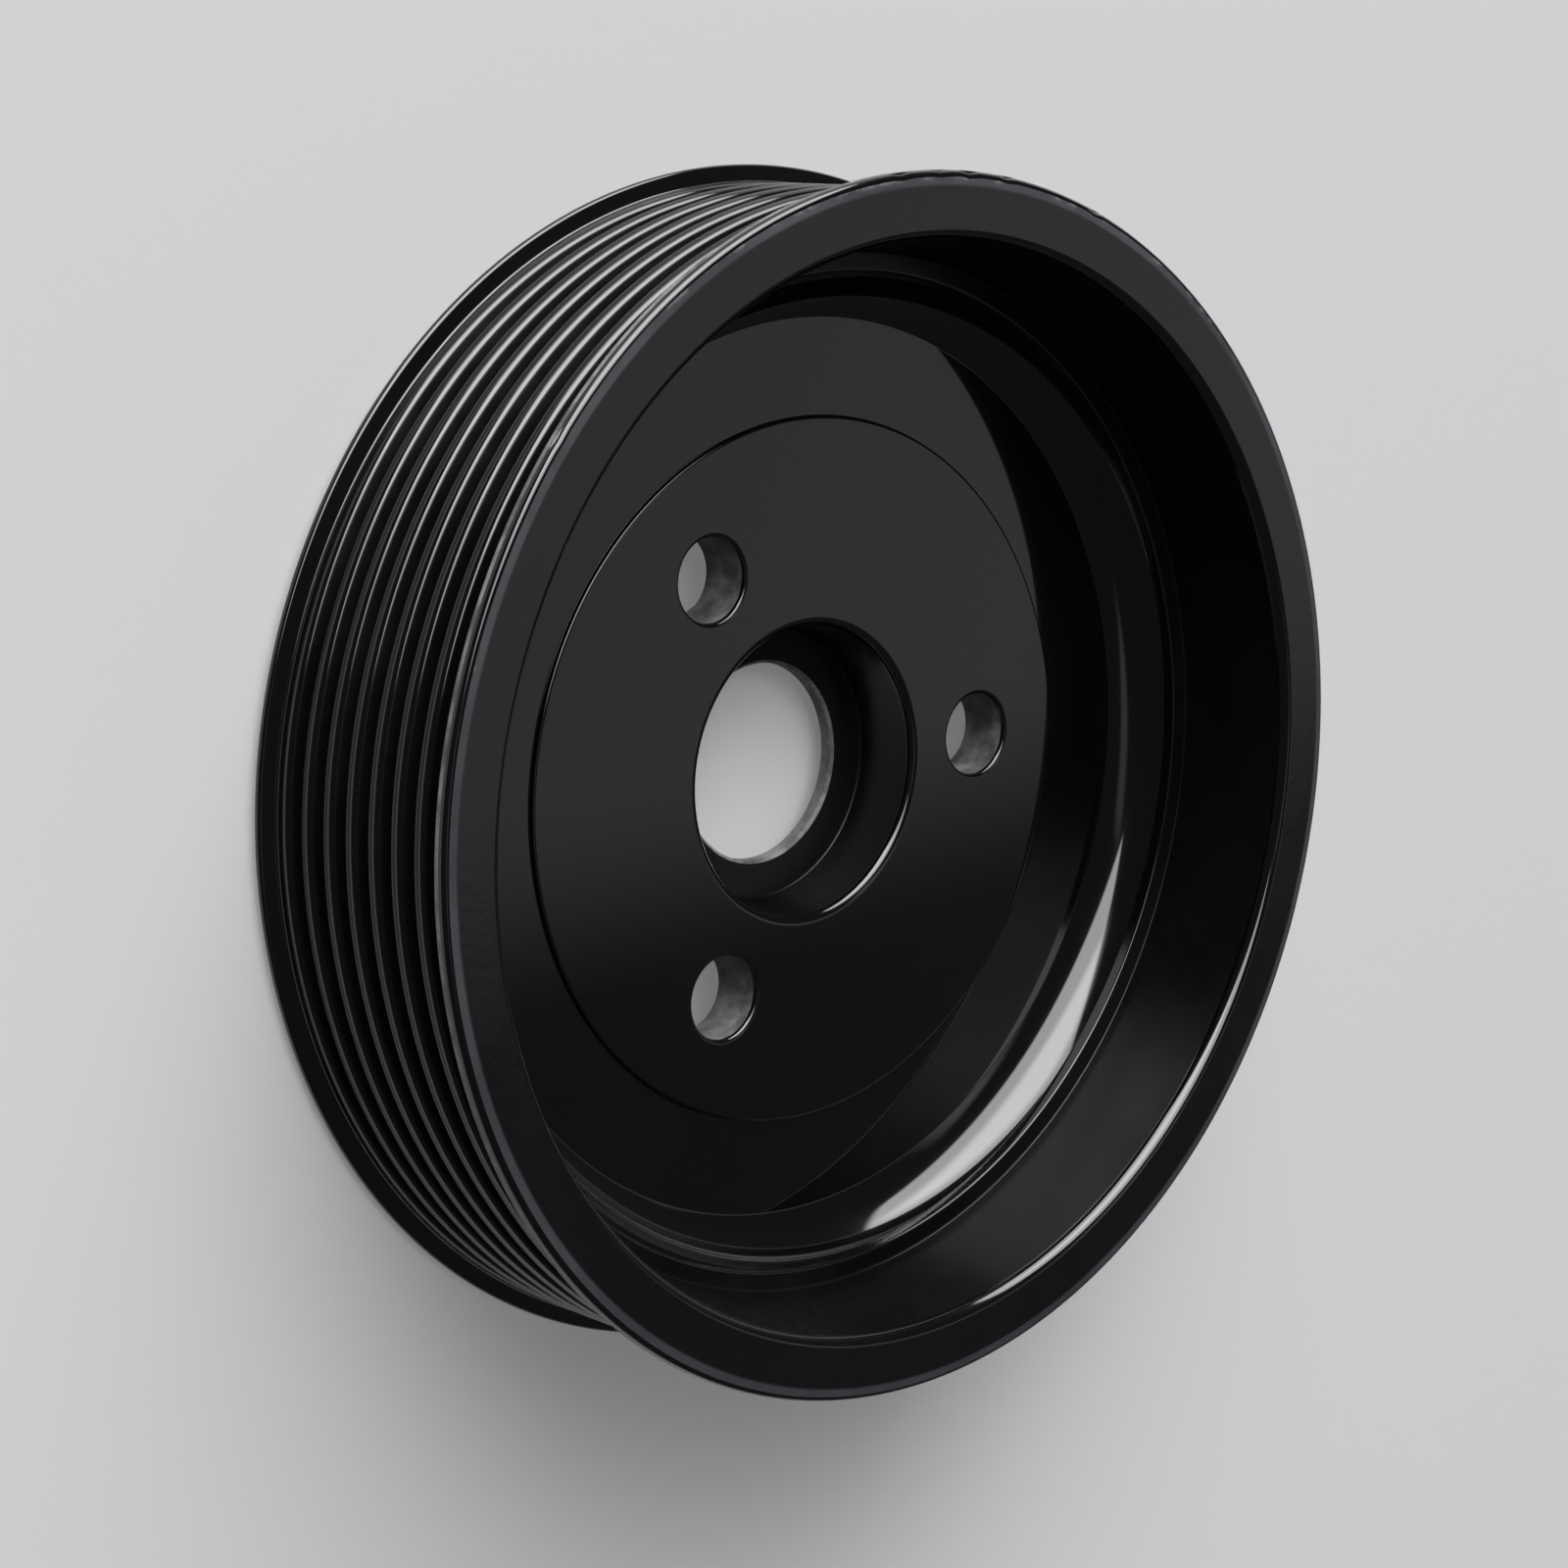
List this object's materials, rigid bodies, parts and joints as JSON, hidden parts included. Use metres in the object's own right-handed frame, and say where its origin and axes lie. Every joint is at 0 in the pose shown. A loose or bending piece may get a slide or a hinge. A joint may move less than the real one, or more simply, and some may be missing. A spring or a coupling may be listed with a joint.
{
  "type": "ribbed belt pulley",
  "caption": "Flanged pulley for a ribbed drive belt, turned from one piece, with a deep front cup, a web with bolt holes and a recessed hub with a through bore.",
  "frame": {"origin": "on the turning axis, in the plane of the rear end of the rim", "axes": "+Z along the turning axis towards the open front of the cup, +X through the middle of one bolt hole"},
  "size_m": [0.1276, 0.1276, 0.0308],
  "materials": {
    "coating": "gloss black coating"
  },
  "bodies": {
    "root": {"pulley": "coating"}
  },
  "joints": []
}
